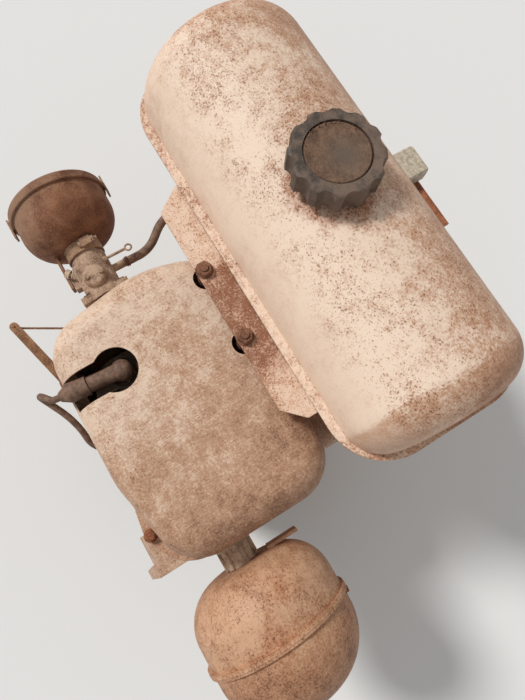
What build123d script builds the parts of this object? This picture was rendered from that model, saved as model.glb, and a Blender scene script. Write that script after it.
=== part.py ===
from build123d import *
import os
from math import sin, cos, tan, pi, radians, degrees, atan2, hypot

# Fan-cooled single-cylinder stationary engine with its fuel tank, air cleaner and silencer.
# Millimetres. Origin on the floor at the middle of the four foot holes, +Z up,
# +X towards the silencer, +Y towards the fan and tank, -Y towards the driven shaft.

# Crankcase and feet
base_length = 230
base_width = 190
base_thick = 14
base_corner = 22
foot_pitch_x = 190
foot_pitch_y = 140
foot_hole_r = 5.5
foot_pad_x = 55
foot_pad_y = 48
foot_relief = 3
crank_height = 130
case_half_x = 92
case_shoulder = 38
case_top = 205
case_front = -70
case_rear = 75
case_edge = 7
deck_size = 150
deck_top = 213
rear_boss_r = 56
plug_thread_r = 9
filler_plug_x = 66
filler_plug_z = 52
drain_plug_y = -22
drain_plug_z = 34
rib_thick = 8
rib_reach = 16
rib_pitch = 45
rib_height = 70
skirt_height = 4
plug_thread_depth = 12
filler_head_r = 15
drain_head_r = 11

# Crankshaft and bearing cover
shaft_r = 12.5
journal_r = 15
shaft_gap = 0.4
shaft_tip = -135
fan_seat_r = 11
cover_r = 60
cover_thick = 12
cover_hub_r = 34
cover_hub_length = 6
drive_pcd = 98
drive_hole_r = 3.4
drive_hole_depth = 9
key_width = 7
key_depth = 4
key_length = 28
key_inset = 3
crank_turn = 36
shaft_thread_depth = 20

# Cylinder, head and their fins
bore_r = 36
barrel_r = 50
fin_size = 154
fin_corner = 34
fin_thick = 2.6
fin_pitch = 10
fin_count = 9
cylinder_top = 322
inlet_y = -17
inlet_z = 302
exhaust_y = -33
exhaust_z = 283
port_r = 18
port_reach = 112
port_bore = 13
head_thick = 10
head_fin_top = 352
head_fin_pitch = 12
head_arm_width = 16
head_arm_x = -50
head_arm_y = 60

# Sheet casing round the cylinder
casing_wall = 2
casing_x0 = -105
casing_x1 = 131
casing_front = -92
casing_rear = 98
casing_top = 303
casing_corner = 12
apron_x0 = 96
apron_reach = 26
apron_rim = 10
apron_back = -70
port_cut_r = 24
louvre_count = 5
louvre_height = 6
louvre_pitch = 13
louvre_half_x = 70
duct_half_x = 80
lead_hole_x = -8
lead_hole_z = 276

# Cylinder shroud
shroud_half_x = 148
shroud_front = -101
shroud_rear = 100
shroud_top = 360
shroud_corner = 48
shroud_edge = 30
shroud_wall = 2
shroud_bow = 1
shroud_bow_y = 20
shroud_bow_r = 150
shroud_shoulder = 21
shroud_slope_x = 42
shroud_set_back = 22
shroud_slope_r = 120
keyhole_x = -57
keyhole_y = -45
keyhole_r = 23
keyhole_slot_x = -57
keyhole_slot = 35
keyhole_floor = 331
tab_x = 88
tab_length = 40
tab_reach = 4.5
tab_thick = 3

# Tank bracket and its studs
stud_mid_x = -57
stud_pitch = 80
stud_y = 80
stud_r = 4
stud_hole_r = 13
stud_top = 388
nut_af = 13
nut_height = 6.5
spacer_r = 8
strip_front = 72
strip_back = 111
strip_x0 = -194
strip_x1 = 82
strip_cut = 20
strip_top = 379
strip_thick = 4

# Fuel tank
tank_x0 = -320
tank_x1 = 162
tank_y0 = 102
tank_y1 = 314
tank_flange = 9.5
tank_flange_top = 383
sheet = 1.5
tank_corner = 62
tank_dome = 90
tank_end_r = 42
tub_depth = 48
tub_edge = 16
tap_x = -203
tap_y = 140
tap_z = 312
hose_r = 5
filler_x = -88
neck_r = 25
neck_wall = 1.5
neck_height = 18
cap_r = 42.5
cap_lift = 4
cap_height = 23.5
cap_scallops = 12
scallop_r = 10
scallop_out = 5.5
cap_recess_r = 30
cap_recess = 5
insert_thick = 2
fit_gap = 0.3

# Rear tank support
support_x = -60
support_width = 90
support_thick = 3
support_lip = 11
support_y0 = 130
clamp_x = -89
clamp_length = 34
clamp_out = 24
clamp_high = 396

# Fan housing, fan and intake cover
fan_back = 98
fan_depth = 88
fan_housing_r = 120
fan_wall = 2.5
neck_drop = 7
neck_corner = 20
fan_r = 102
fan_blades = 20
blade_inner_r = 72
blade_thick = 3
blade_width = 32
blade_turn = 25
fan_hub_r = 36
cover_dome_r = 76
cover_dome_out = 16
grille_slots = 20
grille_slot_width = 6

# Carburettor, linkage and air cleaner
carb_flange_x = -150
carb_throat_r = 18.5
carb_body_x = -203
carb_body_r = 20
carb_neck_x = -220
carb_top_x = -173
band_r = 21.5
band_width = 14
bowl_x = -184
bowl_r = 15
bowl_top = 279
bowl_height = 30
cleaner_rim_x = -278
cleaner_r = 54.5
cleaner_shoulder = 23
cleaner_wall = 1.5
cleaner_cover_depth = 9
cleaner_slots = 12
cleaner_slot_at = 38
clip_width = 12
clip_length = 24
clip_thick = 2
stay_width = 12
stay_thick = 3
throttle_x = -157
throttle_z = 268
arm_tip_x = -126
arm_tip_y = -34.6
arm_thick = 3
arm_slot = 5.8
arm_width = 10
arm_slot_width = 4
pivot_x = -88
pivot_y = -104
eye_x = -180
eye_y = -127
lever_width = 10
lever_thick = 2.5
lever_z = 284
rod_r = 1.25
rod_z = 279.5
pin_hole_r = 1.6

# Spark plug and its cap
plug_x = -58
plug_y = -41
plug_seat = 328
plug_hex_af = 20.8
boot_r = 11
boot_z = 344
boot_turn = 5
boot_neck_r = 8.5
boot_neck_length = 36
boot_sleeve_r = 10.5
boot_sleeve_length = 20
boot_tail = 10
lead_r = 3.5

# Silencer
seam_x = 245
silencer_r = 78
inner_depth = 71
inner_edge = 46
outer_depth = 75
outer_edge = 60
silencer_lip = 3.5
outlet_r = 14
outlet_x = seam_x + 20
outlet_bottom = exhaust_z - silencer_r - 14
outlet_top = exhaust_z - silencer_r + 8
pipe_r = 14
union_r = 19.5
union_ribs = 9
union_x0 = 148
union_length = 26

parts = {}


def prism(sketch, low, high):
    """A sketch in plan pulled up from one height to another."""
    return extrude(Pos(0, 0, low) * sketch, high - low)


def block(x0, x1, y0, y1, z0, z1):
    return Pos((x0 + x1) / 2, (y0 + y1) / 2, (z0 + z1) / 2) * Box(x1 - x0, y1 - y0, z1 - z0)


def rod_x(r, x0, x1, y, z):
    """A round bar along X."""
    return Pos((x0 + x1) / 2, y, z) * Rot(0, 90, 0) * Cylinder(r, x1 - x0)


def rod_y(r, y0, y1, x, z):
    """A round bar along Y."""
    return Pos(x, (y0 + y1) / 2, z) * Rot(90, 0, 0) * Cylinder(r, y1 - y0)


def rod_z_bar(r, z0, z1, x, y):
    """A round bar along Z."""
    return Pos(x, y, (z0 + z1) / 2) * Cylinder(r, z1 - z0)


def plan_box(x0, x1, y0, y1, corner):
    """A rectangle in plan with round corners."""
    return Pos((x0 + x1) / 2, (y0 + y1) / 2) * RectangleRounded(x1 - x0, y1 - y0, corner)


def about_x(profile, y, z):
    """Turn a profile drawn as (x, radius) about an axis along X."""
    return Pos(0, y, z) * revolve(Plane.XY * profile, Axis.X)


def hexagon_z(af, z0, z1, x, y):
    return Pos(x, y, 0) * prism(RegularPolygon(af / 2, 6, major_radius=False), z0, z1)


def make_crankcase():
    plan = plan_box(-base_length / 2, base_length / 2, -base_width / 2, base_width / 2, base_corner)
    base = prism(plan, 0, base_thick)
    relief = Box(base_length - 2 * foot_pad_x, base_width + 2, 2 * foot_relief)
    relief += Box(base_length + 2, base_width - 2 * foot_pad_y, 2 * foot_relief)
    body = block(-case_half_x, case_half_x, case_front, case_rear, base_thick, case_top)
    body = fillet(body.edges().filter_by(Axis.Y).group_by(Axis.Z)[-1], case_shoulder)
    ends = body.faces().sort_by(Axis.Y)
    body = fillet(ends[0].edges() + ends[-1].edges(), case_edge)
    body += block(-case_half_x, case_half_x, case_front, case_rear, base_thick, base_thick + skirt_height)
    deck = block(-deck_size / 2, deck_size / 2, case_front, case_rear, crank_height, deck_top)
    deck = fillet(deck.edges().filter_by(Axis.Z), 12)
    boss = rod_y(rear_boss_r, case_rear, fan_back, 0, crank_height)
    case = base - relief + body + deck + boss
    for side in (-1, 1):
        for y in (-rib_pitch, 0, rib_pitch):
            x = side * (case_half_x - 1 + rib_reach / 2)
            case += Pos(x, y, base_thick + rib_height / 2) * Box(rib_reach + 2, rib_thick, rib_height)
    for x in (-foot_pitch_x / 2, foot_pitch_x / 2):
        for y in (-foot_pitch_y / 2, foot_pitch_y / 2):
            case -= rod_z_bar(foot_hole_r, -1, base_thick + 60, x, y)
    case -= rod_y(journal_r + shaft_gap, case_front - 1, fan_back + 1, 0, crank_height)
    case -= rod_z_bar(bore_r + 1, crank_height, deck_top + 1, 0, 0)
    case -= rod_y(plug_thread_r, case_front - 1, case_front + plug_thread_depth + 2, filler_plug_x,
                  filler_plug_z)
    case -= rod_x(plug_thread_r, -case_half_x - 1, -case_half_x + plug_thread_depth + 2, drain_plug_y,
                  drain_plug_z)
    return case


def make_oil_plugs():
    """Winged filler plug on the driven side and hexagon drain plug low on the side."""
    filler = rod_y(plug_thread_r - fit_gap, case_front, case_front + plug_thread_depth, filler_plug_x,
                   filler_plug_z)
    filler += rod_y(filler_head_r, case_front - 8, case_front, filler_plug_x, filler_plug_z)
    filler += Pos(filler_plug_x, case_front - 14, filler_plug_z) * Box(24, 14, 5)
    drain = rod_x(plug_thread_r - fit_gap, -case_half_x, -case_half_x + plug_thread_depth, drain_plug_y,
                  drain_plug_z)
    head = extrude(RegularPolygon(drain_head_r, 6), 8)
    drain += Pos(-case_half_x - 8, drain_plug_y, drain_plug_z) * Rot(0, 90, 0) * head
    return Compound([filler, drain])


def make_pto_cover():
    face = case_front - cover_thick
    cover = rod_y(cover_r, face, case_front, 0, crank_height)
    cover = fillet(cover.edges().group_by(Axis.Y)[0], 3)
    cover += rod_y(cover_hub_r, face - cover_hub_length, face, 0, crank_height)
    cover -= rod_y(journal_r + shaft_gap, face - cover_hub_length - 1, case_front + 1, 0, crank_height)
    for i in range(4):
        a = radians(45 + 90 * i)
        x = drive_pcd / 2 * cos(a)
        z = crank_height + drive_pcd / 2 * sin(a)
        cover -= rod_y(drive_hole_r, face - 1, face + drive_hole_depth, x, z)
    return cover


def keyway():
    """Slot for a pulley's key, at the angle where the crank stands."""
    start = shaft_tip + key_inset
    slot = block(-key_width / 2, key_width / 2, start, start + key_length, shaft_r - key_depth, shaft_r + 1)
    return Pos(0, 0, crank_height) * Rot(0, crank_turn, 0) * slot


def make_crankshaft():
    shoulder = case_front - cover_thick - cover_hub_length - 2
    shaft = rod_y(shaft_r, shaft_tip, shoulder, 0, crank_height)
    shaft = chamfer(shaft.edges().group_by(Axis.Y)[0], 1.5)
    shaft += rod_y(journal_r, shoulder, fan_back + 4, 0, crank_height)
    shaft += rod_y(fan_seat_r, fan_back + 4, fan_back + 50, 0, crank_height)
    shaft -= keyway()
    shaft -= rod_y(drive_hole_r, shaft_tip - 1, shaft_tip + shaft_thread_depth, 0, crank_height)
    return shaft


def make_cylinder():
    base = casing_wall + deck_top
    barrel = rod_z_bar(barrel_r, base, cylinder_top, 0, 0)
    barrel += prism(RectangleRounded(deck_size - 14, deck_size - 14, 18), base, base + 8)
    outline = RectangleRounded(fin_size, fin_size, fin_corner)
    for i in range(fin_count):
        low = cylinder_top - fin_thick - i * fin_pitch
        barrel += prism(outline, low, low + fin_thick)
    barrel += rod_x(port_r, -port_reach, 0, inlet_y, inlet_z)
    barrel += rod_x(port_r, 0, port_reach, exhaust_y, exhaust_z)
    barrel -= rod_x(port_bore, -port_reach - 1, 0, inlet_y, inlet_z)
    barrel -= rod_x(port_bore, 0, port_reach + 1, exhaust_y, exhaust_z)
    barrel -= rod_z_bar(bore_r, base - 1, cylinder_top - 6, 0, 0)
    return barrel


def make_cylinder_head():
    low = cylinder_top
    plate = prism(RectangleRounded(fin_size, fin_size, fin_corner), low, low + head_thick)
    count = int(fin_size / head_fin_pitch)
    for i in range(count):
        x = (i - (count - 1) / 2) * head_fin_pitch
        half = fin_size / 2 - (10 if abs(x) > fin_size / 2 - fin_corner + 8 else 2)
        plate += block(x - fin_thick / 2, x + fin_thick / 2, -half, half, low + head_thick, head_fin_top)
    plate -= rod_z_bar(boot_r + 9, low + head_thick, head_fin_top + 1, plug_x, plug_y)
    plate -= block(plug_x - boot_r - 6, plug_x + boot_r + 6, -fin_size, plug_y, low + head_thick,
                   head_fin_top + 1)
    for x in (stud_mid_x - stud_pitch / 2, stud_mid_x + stud_pitch / 2):
        reach_x = min(x - head_arm_x, 0)
        reach_y = stud_y - head_arm_y
        arm = block(-head_arm_width / 2, head_arm_width / 2, 0, hypot(reach_x, reach_y), low,
                    low + head_thick)
        turn = degrees(atan2(reach_y, reach_x)) - 90
        arm = Pos(max(x, head_arm_x), head_arm_y, 0) * Rot(0, 0, turn) * arm
        plate += arm
        plate -= rod_z_bar(spacer_r + 3, low + head_thick, head_fin_top + 1, x, stud_y)
        plate += rod_z_bar(spacer_r + 3, low, low + head_thick + 2, x, stud_y)
        plate -= rod_z_bar(stud_r + fit_gap, low + 3, head_fin_top, x, stud_y)
    plate -= rod_z_bar(6.2, low - 1, low + head_thick + 1, plug_x, plug_y)
    plate -= rod_z_bar(boot_r + 4, plug_seat, head_fin_top, plug_x, plug_y)
    return plate


def side_plate(x0, x1, pts):
    """A plate across X with the given (y, z) outline."""
    return Pos(x0, 0, 0) * extrude(Plane.YZ * make_face(Polyline(*pts, close=True)), x1 - x0)


def make_casing():
    outer = plan_box(casing_x0, casing_x1, casing_front, casing_rear, casing_corner)
    inner = plan_box(casing_x0 + casing_wall, casing_x1 - casing_wall,
                     casing_front + casing_wall, casing_rear - casing_wall, casing_corner - casing_wall)
    rim = casing_top - casing_wall
    shell = prism(outer, deck_top, rim) - prism(inner, deck_top + casing_wall, casing_top)
    low = casing_top - 75
    out = casing_front - apron_reach
    apron = [(casing_front + 1, low), (out, low), (out, casing_top - 42), (casing_front - 13, rim),
             (casing_front + 1, rim)]
    shell += side_plate(apron_x0, casing_x1 + 5, apron)
    lip = [(apron_back, low - 5), (out - 9, low - 5), (out - 9, casing_top - 44), (casing_front - 18, rim),
           (apron_back, rim)]
    shell += side_plate(casing_x1, casing_x1 + apron_rim, lip)
    shell -= rod_x(port_cut_r, casing_x0 - 5, casing_x0 + 5, inlet_y, inlet_z)
    shell -= rod_x(port_cut_r, casing_x1 - 5, casing_x1 + 20, exhaust_y, exhaust_z)
    shell -= rod_z_bar(bore_r + 1, deck_top - 1, deck_top + 5, 0, 0)
    shell -= duct_opening(casing_rear)
    shell -= rod_y(lead_r + fit_gap, casing_front - 1, casing_front + 5, lead_hole_x, lead_hole_z)
    for i in range(louvre_count):
        low = deck_top + 8 + i * louvre_pitch
        shell -= block(0, louvre_half_x + 10, casing_front - 1, casing_front + 5, low, low + louvre_height)
    return shell


def duct_opening(y):
    """Window through which the fan blows into the casing."""
    return block(-duct_half_x, duct_half_x, y - 6, y + 6, deck_top + 15, casing_top - 12)


def shroud_outline(inset, set_back):
    """Plan of the pressing: bowed out at the carburettor, its front sloped back near the silencer."""
    bow = -shroud_half_x - shroud_bow
    shoulder = -shroud_half_x + shroud_shoulder
    points = [(shroud_half_x, shroud_front + set_back), (shroud_half_x, shroud_rear),
              (shoulder, shroud_rear),
              (bow, shroud_bow_y), (shoulder, shroud_front)]
    radii = [shroud_corner, shroud_corner, shroud_corner, shroud_bow_r, shroud_corner]
    if set_back:
        points.append((shroud_slope_x, shroud_front))
        radii.append(shroud_slope_r)
    outline = make_face(FilletPolyline(*points, radius=radii, close=True))
    return offset(outline, -inset) if inset else outline


def shroud_form(inset, top):
    """The rounded pressing, shrunk by a wall on every side."""
    form = prism(shroud_outline(inset, shroud_set_back), casing_top, top)
    return fillet(form.edges().group_by(Axis.Z)[-1], shroud_edge - inset)


def make_shroud():
    shell = shroud_form(0, shroud_top) - shroud_form(shroud_wall, shroud_top - shroud_wall)
    inner = plan_box(casing_x0 + casing_wall, casing_x1 - casing_wall,
                     casing_front + casing_wall, casing_rear - casing_wall, casing_corner - casing_wall)
    inner = inner & shroud_outline(shroud_wall, shroud_set_back)
    shell += prism(shroud_outline(0, 0) - inner, casing_top - casing_wall, casing_top)
    shell -= block(-shroud_half_x - 2, casing_x0 + casing_wall + 1, inlet_y - 28, inlet_y + 28,
                   casing_top - 5, casing_top + 1)
    slot = Rectangle(keyhole_slot, keyhole_y - shroud_front + 2, align=(Align.CENTER, Align.MAX))
    hole = Pos(keyhole_x, keyhole_y) * Circle(keyhole_r) + Pos(keyhole_slot_x, keyhole_y) * slot
    shell -= prism(hole, keyhole_floor, shroud_top + 1)
    for x in (stud_mid_x - stud_pitch / 2, stud_mid_x + stud_pitch / 2):
        shell -= rod_z_bar(stud_hole_r, casing_top, shroud_top + 1, x, stud_y)
    shell -= rod_x(port_cut_r, -shroud_half_x - 5, -shroud_half_x + 30, inlet_y, inlet_z)
    shell -= rod_x(port_cut_r, shroud_half_x - 30, shroud_half_x + 5, exhaust_y, exhaust_z)
    half = tab_length / 2
    inside = shroud_front + shroud_set_back
    tip = (tab_x + half - 6, shroud_front - tab_reach)
    tab = make_face(Polyline((tab_x - half, inside), (tab_x - half + 2, shroud_front), tip,
                             (tab_x + half, shroud_front + 2), (tab_x + half, inside), close=True))
    tab -= shroud_outline(shroud_wall, shroud_set_back)
    tab = prism(tab, casing_top, casing_top + tab_thick)
    return shell + tab


def make_bracket():
    pts = [(strip_x0, strip_back), (strip_x0, strip_front + 1.4 * strip_cut),
           (strip_x0 + strip_cut, strip_front),
           (strip_x1 - strip_cut, strip_front), (strip_x1, strip_front + strip_cut), (strip_x1, strip_back)]
    strip = prism(make_face(Polyline(*pts, close=True)), strip_top - strip_thick, strip_top)
    for x in (stud_mid_x - stud_pitch / 2, stud_mid_x + stud_pitch / 2):
        strip -= rod_z_bar(stud_r + fit_gap, strip_top - 10, strip_top + 1, x, stud_y)
    return strip


def make_studs():
    studs = []
    for x in (stud_mid_x - stud_pitch / 2, stud_mid_x + stud_pitch / 2):
        low = cylinder_top + 3
        studs.append(rod_z_bar(stud_r, low, stud_top, x, stud_y))
    return Compound(studs)


def make_spacers():
    tubes = []
    for x in (stud_mid_x - stud_pitch / 2, stud_mid_x + stud_pitch / 2):
        low = cylinder_top + head_thick + 2
        high = strip_top - strip_thick
        hole = rod_z_bar(stud_r + fit_gap, low - 1, high + 1, x, stud_y)
        tubes.append(rod_z_bar(spacer_r, low, high, x, stud_y) - hole)
    return Compound(tubes)


def make_nuts():
    nuts = []
    for x in (stud_mid_x - stud_pitch / 2, stud_mid_x + stud_pitch / 2):
        nut = hexagon_z(nut_af, strip_top, strip_top + nut_height, x, stud_y)
        nuts.append(nut - rod_z_bar(stud_r + fit_gap, strip_top - 1, strip_top + nut_height + 1, x, stud_y))
    return Compound(nuts)


tank_mid_y = (tank_y0 + tank_y1) / 2
tank_half = (tank_y1 - tank_y0) / 2
body_x0 = tank_x0 + tank_flange
body_x1 = tank_x1 - tank_flange
body_half = tank_half - tank_flange
flange_bottom = tank_flange_top - 2 * sheet
ridge = tank_flange_top + tank_dome


def tank_plan(inset):
    return plan_box(body_x0 + inset, body_x1 - inset, tank_mid_y - body_half + inset,
                    tank_mid_y + body_half - inset, tank_corner - tank_flange - inset)


def dome_form(inset):
    """Half-round tank top whose ends turn down in one deep-drawn radius."""
    section = Plane.YZ * Ellipse(body_half - inset, tank_dome - inset)
    bar = Pos(body_x0 + inset, 0, 0) * extrude(section, body_x1 - body_x0 - 2 * inset)
    ends = bar.faces().sort_by(Axis.X)
    bar = fillet(ends[0].edges() + ends[-1].edges(), tank_end_r - inset)
    bar = Pos(0, tank_mid_y, tank_flange_top) * bar
    return bar & block(tank_x0, tank_x1, tank_y0, tank_y1, tank_flange_top, ridge + 1)


def tank_rim(low, high, hollow):
    """Joint flange of one half, open inside by the given plan."""
    outer = plan_box(tank_x0, tank_x1, tank_y0, tank_y1, tank_corner)
    return prism(outer, low, high) - prism(hollow, low - 1, high + 1)


def dome_plan():
    """Inside of the upper half where it meets the flange."""
    return plan_box(body_x0 + sheet, body_x1 - sheet, tank_mid_y - body_half + sheet,
                    tank_mid_y + body_half - sheet,
                    tank_end_r - sheet)


def make_tank_top():
    shell = dome_form(0) - dome_form(sheet)
    shell += tank_rim(tank_flange_top - sheet, tank_flange_top, dome_plan())
    shell -= rod_z_bar(neck_r, tank_flange_top + 20, ridge + 5, filler_x, tank_mid_y)
    return shell


def tub_form(inset):
    form = prism(tank_plan(inset), flange_bottom - tub_depth + inset, flange_bottom + sheet)
    return fillet(form.edges().group_by(Axis.Z)[0], tub_edge - inset)


def make_tank_bottom():
    shell = tub_form(0) - tub_form(sheet)
    shell -= block(tank_x0, tank_x1, tank_y0, tank_y1, flange_bottom + sheet, ridge)
    shell += tank_rim(flange_bottom, flange_bottom + sheet, tank_plan(sheet))
    return shell


def make_filler_neck():
    top = ridge + neck_height
    neck = rod_z_bar(neck_r - fit_gap, ridge - 12, top, filler_x, tank_mid_y)
    neck += rod_z_bar(neck_r + 5, ridge + 0.2, ridge + 2, filler_x, tank_mid_y)
    return neck - rod_z_bar(neck_r - fit_gap - neck_wall, ridge - 20, top + 1, filler_x, tank_mid_y)


def make_fuel_cap():
    low = ridge + cap_lift
    high = low + cap_height
    cap = rod_z_bar(cap_r, low, high, 0, 0)
    cap = fillet(cap.edges().group_by(Axis.Z)[-1], 4)
    for i in range(cap_scallops):
        a = 2 * pi * (i + 0.5) / cap_scallops
        cap -= rod_z_bar(scallop_r, low - 1, high + 1, (cap_r + scallop_out) * cos(a),
                         (cap_r + scallop_out) * sin(a))
    cap -= rod_z_bar(cap_recess_r, high - cap_recess, high + 1, 0, 0)
    cap -= rod_z_bar(neck_r, low - 1, ridge + neck_height + fit_gap, 0, 0)
    return Pos(filler_x, tank_mid_y, 0) * cap


def make_cap_insert():
    high = ridge + cap_lift + cap_height - cap_recess
    disc = rod_z_bar(cap_recess_r - fit_gap, high, high + insert_thick, filler_x, tank_mid_y)
    return chamfer(disc.edges().group_by(Axis.Z)[-1], 0.6)


def make_rear_support():
    """Bent strap from the fan housing, under the tank and up behind its flange."""
    half = support_width / 2
    seat = casing_top - neck_drop
    bottom = flange_bottom - tub_depth - support_thick - fit_gap
    back = tank_y1 + 4
    strap = block(-half, half, support_y0, back + support_thick, bottom, bottom + support_thick)
    strap += block(-half, half, back, back + support_thick, bottom, flange_bottom)
    strap += block(-half, half, back, back + support_lip, flange_bottom - support_thick, flange_bottom)
    strap += block(-half, half, support_y0, support_y0 + support_thick, seat, bottom + 1)
    strap += block(-half, half, support_y0, support_y0 + 40, seat, seat + support_thick)
    return Pos(support_x, 0, 0) * strap


def make_rear_clamp():
    """Pale plastic pad hooked over the flange on the lip of the support."""
    half = clamp_length / 2
    grip = block(-half, half, tank_y1 - 7, tank_y1 + clamp_out, flange_bottom, clamp_high)
    grip = fillet(grip.edges().filter_by(Axis.Z), 4)
    grip = chamfer(grip.edges().group_by(Axis.Z)[-1], 2)
    grip -= block(-half - 1, half + 1, tank_y1 - 20, tank_y1 + fit_gap, flange_bottom - 1,
                  tank_flange_top + fit_gap)
    return Pos(clamp_x, 0, 0) * grip


def fan_outline(inset):
    """Drum round the fan with a square-shouldered neck towards the casing, seen along Y."""
    r = fan_housing_r - inset
    rise = casing_top - neck_drop - crank_height - inset
    return Circle(r) + Pos(0, rise / 2) * RectangleRounded(2 * r, rise, neck_corner)


def make_fan_housing():
    plane = Plane(origin=(0, fan_back, crank_height), x_dir=(1, 0, 0), z_dir=(0, -1, 0))
    shell = extrude(plane * fan_outline(0), -fan_depth)
    inner_plane = plane.offset(-fan_wall)
    shell -= extrude(inner_plane * fan_outline(fan_wall), -fan_depth)
    shell -= rod_y(rear_boss_r - 8, fan_back - 1, fan_back + 5, 0, crank_height)
    shell -= duct_opening(fan_back)
    return shell


def make_fan():
    back = fan_back + 8
    fan = rod_y(fan_r, back, back + 5, 0, crank_height)
    fan += rod_y(fan_hub_r, back, back + 34, 0, crank_height)
    for i in range(fan_blades):
        a = 360 / fan_blades * i
        mid = (blade_inner_r + fan_r) / 2
        length = fan_r - blade_inner_r
        blade = Pos(mid, 0, 0) * Rot(0, 0, blade_turn) * Box(length, blade_thick, blade_width)
        blade = Rot(0, 0, a) * blade
        fan += Pos(0, back + 5 + blade_width / 2, crank_height) * Rot(90, 0, 0) * blade
    fan -= rod_y(fan_seat_r + fit_gap, back - 1, back + 50, 0, crank_height)
    return fan


def make_starter_cover():
    face = fan_back + fan_depth
    plane = Plane(origin=(0, face, crank_height), x_dir=(1, 0, 0), z_dir=(0, -1, 0))
    cover = extrude(plane * fan_outline(0), -fan_wall)
    cover += rod_y(cover_dome_r, face, face + cover_dome_out, 0, crank_height)
    cover = fillet(cover.edges().group_by(Axis.Y)[-1], 8)
    cover -= rod_y(cover_dome_r - fan_wall, face - 1, face + cover_dome_out - fan_wall, 0, crank_height)
    slot = Pos(cover_dome_r - 28, 0, 0) * Box(34, grille_slot_width, 3 * cover_dome_out)
    middle = Pos(0, face + cover_dome_out, crank_height) * Rot(90, 0, 0)
    for i in range(grille_slots):
        cover -= middle * Rot(0, 0, 360 / grille_slots * i) * slot
    return cover


def make_starter_grip():
    """Pull handle resting against the rope eye on the side of the starter."""
    face = fan_back + fan_depth + fan_wall
    x = -cover_dome_r - 18
    z = crank_height + 60
    eye = rod_z_bar(8, z - 18, z, x, face + 8)
    grip = Pos(x, face + 8, z + 6) * Box(52, 15, 12)
    return eye + grip


def make_intake_pipe():
    pipe = rod_x(port_r - 1, carb_flange_x, -port_reach, inlet_y, inlet_z)
    pipe += Pos(-port_reach - 3, inlet_y, inlet_z) * Box(6, 52, 32)
    pipe -= rod_x(port_bore, carb_flange_x - 1, -port_reach + 1, inlet_y, inlet_z)
    return pipe


def make_carburettor():
    z = inlet_z
    body = rod_x(carb_throat_r, carb_neck_x, carb_body_x, inlet_y, z)
    body += rod_x(carb_body_r, carb_body_x, carb_flange_x, inlet_y, z)
    body += fillet(block(carb_body_x + 4, carb_flange_x - 10, inlet_y - 21, inlet_y + 17, z - 12,
                         z + 14).edges(), 4)
    body += Pos(carb_flange_x - 4, inlet_y, z) * Box(8, 56, 32)
    body += rod_z_bar(bowl_r - 2, bowl_top, z, bowl_x, inlet_y)
    top = rod_z_bar(13, z, z + 25, carb_top_x, inlet_y - 2)
    body += fillet(top.edges().group_by(Axis.Z)[-1], 4)
    body += rod_z_bar(4, throttle_z + arm_thick + 0.4, z, throttle_x, inlet_y)
    body += rod_y(4.5, inlet_y, inlet_y + 34, bowl_x + 4, z)
    body += block(bowl_x - 9, bowl_x + 9, inlet_y - 28, inlet_y, z - 7, z + 5)
    body += rod_z_bar(3, throttle_z - 0.4, throttle_z + arm_thick + 1, throttle_x, inlet_y)
    body += rod_z_bar(5, throttle_z - 3, throttle_z - 0.4, throttle_x, inlet_y)
    body -= rod_x(port_bore, carb_neck_x - 1, carb_flange_x + 1, inlet_y, z)
    return body


def make_float_bowl():
    bowl = rod_z_bar(bowl_r, bowl_top - bowl_height, bowl_top, bowl_x, inlet_y)
    bowl = fillet(bowl.edges().group_by(Axis.Z)[0], 6)
    bowl += rod_z_bar(5, bowl_top - bowl_height - 5, bowl_top - bowl_height, bowl_x, inlet_y)
    return bowl


def make_throat_band():
    z = inlet_z
    band = rod_x(band_r, carb_neck_x, carb_neck_x + band_width, inlet_y, z)
    band -= rod_x(carb_throat_r + fit_gap, carb_neck_x - 1, carb_neck_x + band_width + 1, inlet_y, z)
    lug = Pos(carb_neck_x + band_width / 2, inlet_y + 8, z + band_r + 1) * Box(band_width - 4, 12, 7)
    return band + lug


def bell_profile(inset):
    """Half section of the bell as (x, radius)."""
    r = cleaner_r - inset
    throat = carb_throat_r + 2
    back = carb_neck_x - fit_gap - inset
    shoulder = cleaner_rim_x + cleaner_shoulder
    line = Line((cleaner_rim_x, 0), (cleaner_rim_x, r))
    line += Line((cleaner_rim_x, r), (shoulder, r))
    line += EllipticalCenterArc((shoulder, throat), back - shoulder, r - throat, start_angle=0, arc_size=90)
    line += Line((back, throat), (back, 0))
    line += Line((back, 0), (cleaner_rim_x, 0))
    return make_face(line)


def make_cleaner_bell():
    bell = about_x(bell_profile(0), inlet_y, inlet_z) - about_x(bell_profile(cleaner_wall), inlet_y,
                                                                inlet_z)
    rim = rod_x(cleaner_r + 3, cleaner_rim_x, cleaner_rim_x + 3, inlet_y, inlet_z)
    rim -= rod_x(cleaner_r - 1, cleaner_rim_x - 1, cleaner_rim_x + 4, inlet_y, inlet_z)
    return bell + rim - rod_x(port_bore, carb_neck_x - 20, carb_neck_x + 5, inlet_y, inlet_z)


def make_cleaner_cover():
    z = inlet_z
    x = cleaner_rim_x
    cover = rod_x(cleaner_r + 3, x - cleaner_cover_depth, x, inlet_y, z)
    cover = fillet(cover.edges().group_by(Axis.X)[0], 0.5 * cleaner_cover_depth)
    cover -= rod_x(cleaner_r - 1, x - cleaner_cover_depth + cleaner_wall, x + 1, inlet_y, z)
    for i in range(cleaner_slots):
        slot = Pos(0, cleaner_slot_at, 0) * Box(2 * cleaner_cover_depth, 20, 7)
        cover -= Pos(x - cleaner_cover_depth, inlet_y, z) * Rot(360 / cleaner_slots * i, 0, 0) * slot
    return cover


def make_cleaner_clips():
    z = inlet_z
    clips = []
    for side in (-1, 1):
        y = inlet_y + side * (cleaner_r + 3)
        clip = Pos(cleaner_rim_x, y + side * (clip_thick / 2 + fit_gap), z) * Box(clip_length, clip_thick,
                                                                                  clip_width)
        clips.append(clip)
    return Compound(clips)


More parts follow.
